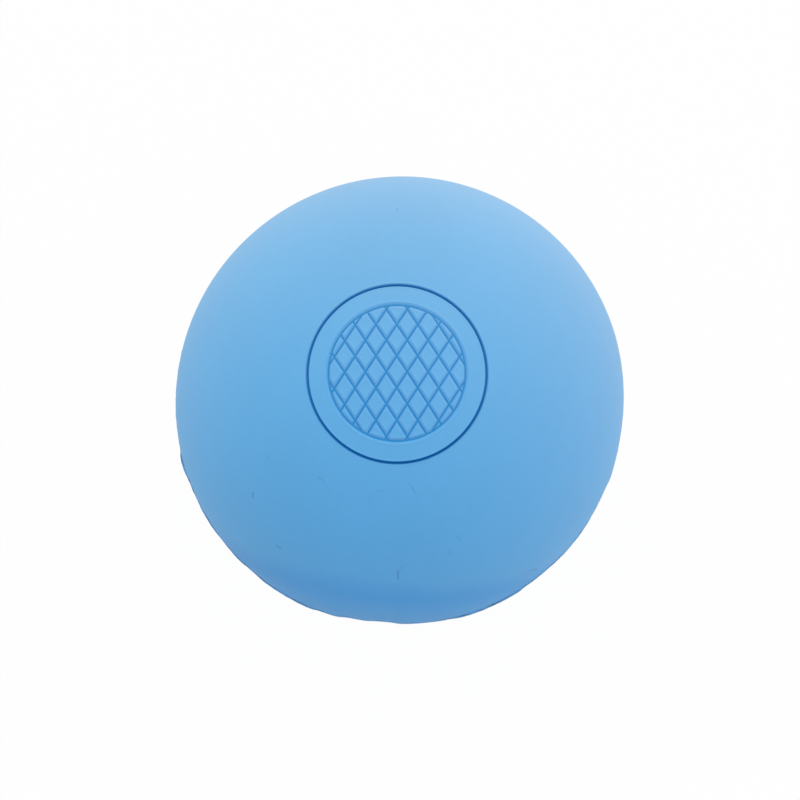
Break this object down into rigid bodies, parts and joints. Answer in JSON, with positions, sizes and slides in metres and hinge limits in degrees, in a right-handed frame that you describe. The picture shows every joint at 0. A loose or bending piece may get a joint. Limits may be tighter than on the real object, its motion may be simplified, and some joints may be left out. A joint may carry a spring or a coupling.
{
  "type": "lacrosse ball",
  "caption": "Solid rubber ball for lacrosse: a round core under moulded half covers that meet at a trimmed seam, with a round net stamp pressed into the top.",
  "frame": {"origin": "centre of the ball", "axes": "+Z along the mould axis, out through the middle of the stamp; X and Y lie in the parting plane, +Y towards the far side of the stamp as the picture is seen"},
  "size_m": [0.0639, 0.0638, 0.0636],
  "materials": {
    "cover_rubber": "sky blue moulded rubber, matt with a soft sheen",
    "core_rubber": "grey moulded rubber, matt"
  },
  "bodies": {
    "root": {"core": "core_rubber", "plain_cover": "cover_rubber", "stamped_cover": "cover_rubber"}
  },
  "joints": []
}
